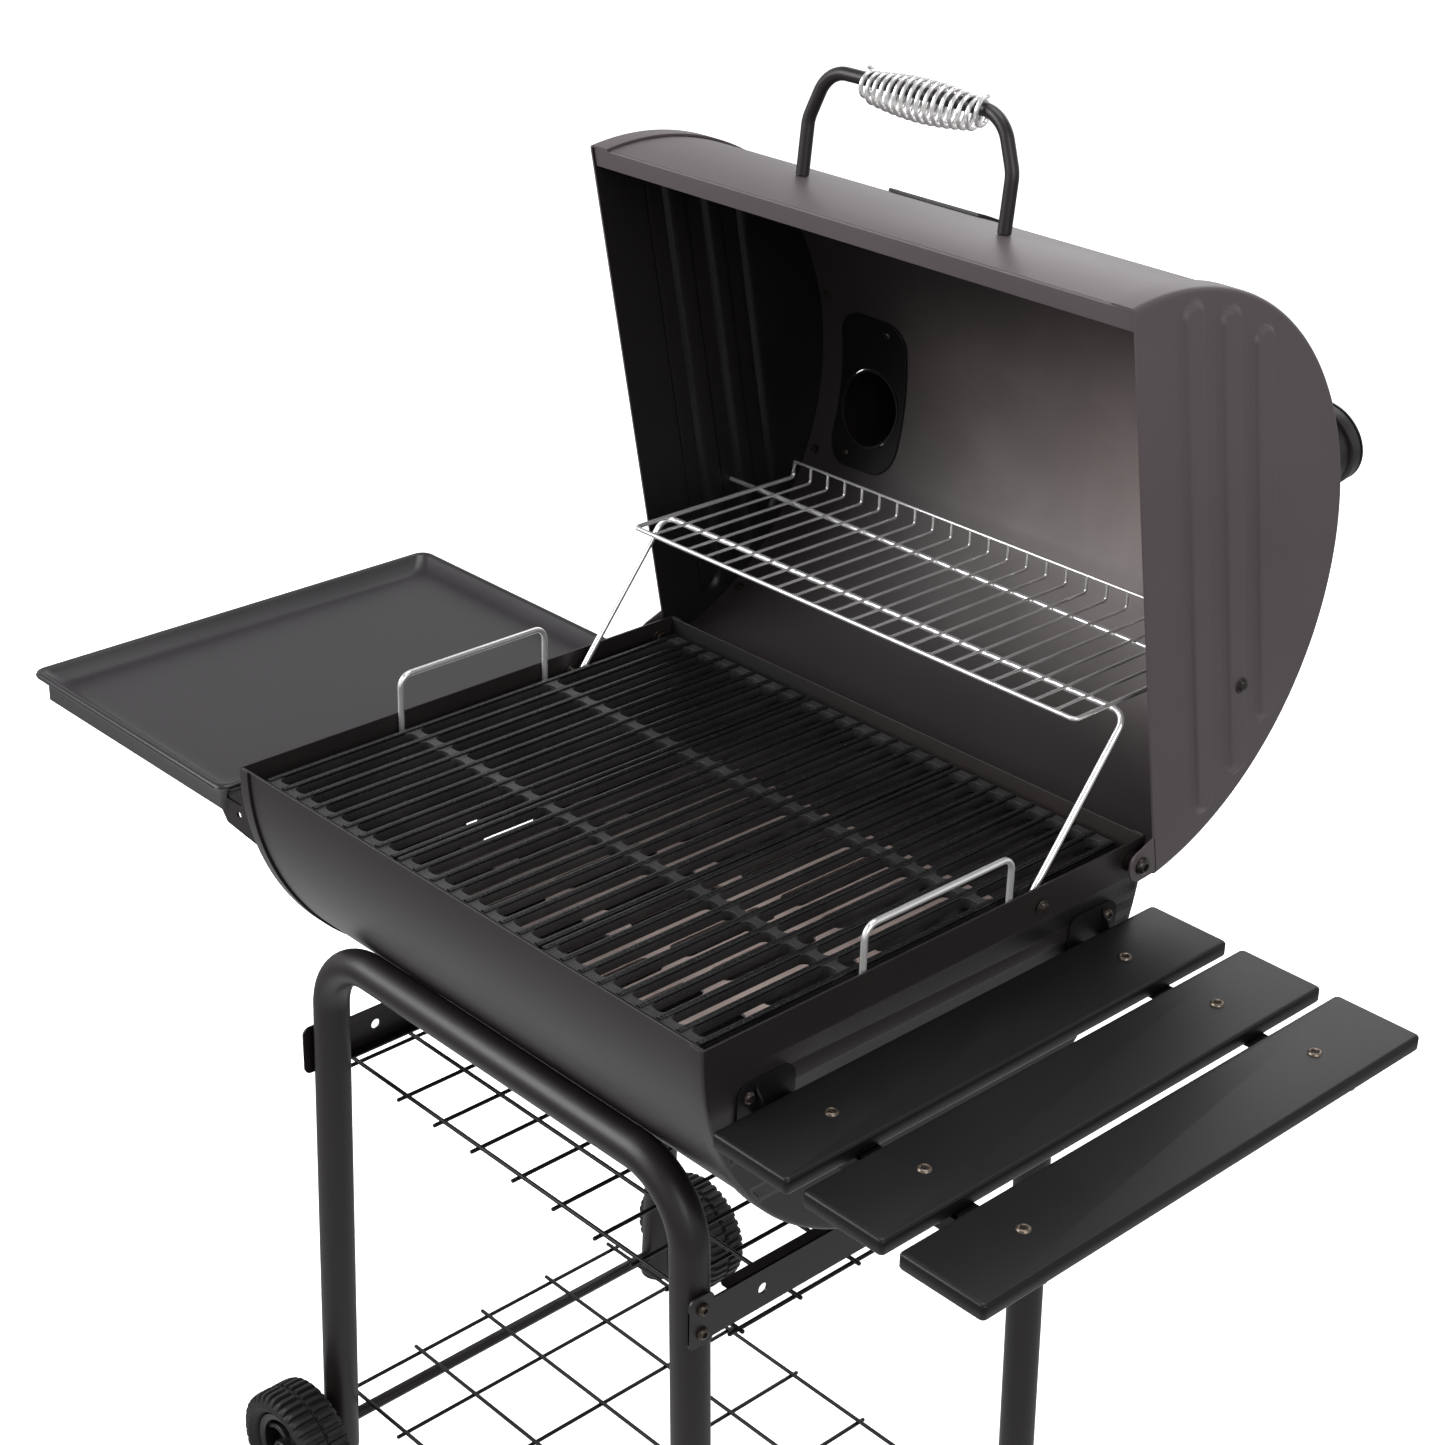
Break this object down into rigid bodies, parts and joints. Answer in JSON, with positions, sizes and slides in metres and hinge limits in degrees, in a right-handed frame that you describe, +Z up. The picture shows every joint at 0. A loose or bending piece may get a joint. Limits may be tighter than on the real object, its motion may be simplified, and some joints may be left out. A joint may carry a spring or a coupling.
{
  "type": "barrel charcoal smoker",
  "caption": "Charcoal barrel smoker on an open wheeled cart, with a hinged lid, exhaust stacks, a swing-away warming rack, a pressed side tray and a slatted side shelf.",
  "frame": {"origin": "on the ground, under the middle of the whole object's bounding box with the lid open", "axes": "+Z up, front (open side of the barrel, where the cook stands) towards -Y, slatted shelf towards +X, tray and wheels towards -X"},
  "size_m": [1.289, 0.9616, 1.4048],
  "materials": {
    "charcoal_paint": "satin high-heat charcoal paint",
    "black_paint": "satin black paint",
    "cast_iron": "coated cast iron",
    "chrome_wire": "bright plated wire",
    "bolt_steel": "dark plated fasteners",
    "zinc_steel": "yellow zinc plating",
    "tyre_rubber": "moulded lugged tyre",
    "hub_plastic": "moulded black plastic"
  },
  "bodies": {
    "root": {"barrel_shell": "charcoal_paint", "barrel_end_left": "charcoal_paint", "barrel_end_right": "charcoal_paint", "grate_ledge_front": "black_paint", "grate_ledge_rear": "black_paint", "damper_pin": "bolt_steel", "hinge_bolt_left": "bolt_steel", "hinge_bolt_right": "bolt_steel", "hinge_spacer_left": "bolt_steel", "hinge_spacer_right": "bolt_steel", "side_tray": "black_paint", "tray_bracket_front": "charcoal_paint", "tray_bracket_rear": "charcoal_paint", "shelf_slat_inner": "black_paint", "shelf_slat_middle": "black_paint", "shelf_slat_outer": "black_paint", "shelf_bracket_front": "black_paint", "shelf_bracket_rear": "black_paint", "front_arch": "charcoal_paint", "rear_arch": "charcoal_paint", "crossbar_left": "charcoal_paint", "crossbar_right": "charcoal_paint", "storage_shelf": "black_paint", "bottom_shelf": "black_paint", "axle": "bolt_steel", "foot_cap_front": "hub_plastic", "foot_cap_rear": "hub_plastic"},
    "lid": {"lid_shell": "charcoal_paint", "lid_cap_left": "charcoal_paint", "lid_cap_right": "charcoal_paint", "badge_plate": "black_paint", "handle_rod": "black_paint", "handle_coil": "chrome_wire", "handle_bolt_left": "bolt_steel", "handle_bolt_right": "zinc_steel", "stack_left": "black_paint", "stack_right": "black_paint", "stack_plate_left": "black_paint", "stack_plate_right": "black_paint"},
    "stack_cap_left": {"stack_cap_left": "black_paint"},
    "stack_cap_right": {"stack_cap_right": "black_paint"},
    "warming_rack": {"warming_rack": "chrome_wire", "rack_nut_left": "bolt_steel", "rack_nut_right": "bolt_steel"},
    "rack_bail": {"rack_bail": "chrome_wire", "bail_nut_left": "bolt_steel", "bail_nut_right": "bolt_steel"},
    "cooking_grate_left": {"cooking_grate_left": "cast_iron"},
    "cooking_grate_middle": {"cooking_grate_middle": "cast_iron"},
    "cooking_grate_right": {"cooking_grate_right": "cast_iron"},
    "fire_grate": {"fire_grate": "black_paint", "fire_handle_left": "chrome_wire", "fire_handle_right": "chrome_wire"},
    "side_damper": {"side_damper": "charcoal_paint"},
    "front_wheel": {"tyre_front": "tyre_rubber", "wheel_hub_front": "hub_plastic"},
    "rear_wheel": {"tyre_rear": "tyre_rubber", "wheel_hub_rear": "hub_plastic"}
  },
  "joints": [
    {"name": "lid_hinge", "type": "hinge", "parent": "root", "child": "lid", "pos_m": [0.0525, 0.05118, 0.787], "axis": [1, 0, 0], "range_deg": [0, 79]},
    {"name": "warming_rack_pivot", "type": "hinge", "parent": "lid", "child": "warming_rack", "pos_m": [0.0525, 0.16078, 0.9255], "axis": [1, 0, 0], "range_deg": [-79, 0]},
    {"name": "rack_bail_pivot", "type": "hinge", "parent": "root", "child": "rack_bail", "pos_m": [0.0525, -0.06482, 0.785], "axis": [1, 0, 0], "range_deg": [0, 79]},
    {"name": "stack_cap_left_swivel", "type": "hinge", "parent": "lid", "child": "stack_cap_left", "pos_m": [-0.1405, 0.47153, 1.03374], "axis": [0, 0.9816, 0.1908], "range_deg": [0, 110]},
    {"name": "stack_cap_right_swivel", "type": "hinge", "parent": "lid", "child": "stack_cap_right", "pos_m": [0.1755, 0.47153, 1.03374], "axis": [0, -0.9816, -0.1908], "range_deg": [0, 110]},
    {"name": "side_damper_swing", "type": "hinge", "parent": "root", "child": "side_damper", "pos_m": [-0.2533, -0.20682, 0.705], "axis": [1, 0, 0], "range_deg": [0, 30]},
    {"name": "cooking_grate_left_lift", "type": "slide", "parent": "root", "child": "cooking_grate_left", "axis": [0, 0, 1], "range_m": [0, 0.045]},
    {"name": "cooking_grate_middle_lift", "type": "slide", "parent": "root", "child": "cooking_grate_middle", "axis": [0, 0, 1], "range_m": [0, 0.045]},
    {"name": "cooking_grate_right_lift", "type": "slide", "parent": "root", "child": "cooking_grate_right", "axis": [0, 0, 1], "range_m": [0, 0.045]},
    {"name": "fire_grate_lift", "type": "slide", "parent": "root", "child": "fire_grate", "axis": [0, 0, 1], "range_m": [0, 0.03]},
    {"name": "front_wheel_spin", "type": "hinge", "parent": "root", "child": "front_wheel", "pos_m": [-0.2105, -0.45282, 0.064], "axis": [0, 1, 0], "continuous": true},
    {"name": "rear_wheel_spin", "type": "hinge", "parent": "root", "child": "rear_wheel", "pos_m": [-0.2105, 0.07518, 0.064], "axis": [0, 1, 0], "continuous": true}
  ],
  "couplings": [
    {"joint": "warming_rack_pivot", "follows": "lid_hinge", "ratio": -1},
    {"joint": "rack_bail_pivot", "follows": "lid_hinge", "ratio": 1}
  ]
}
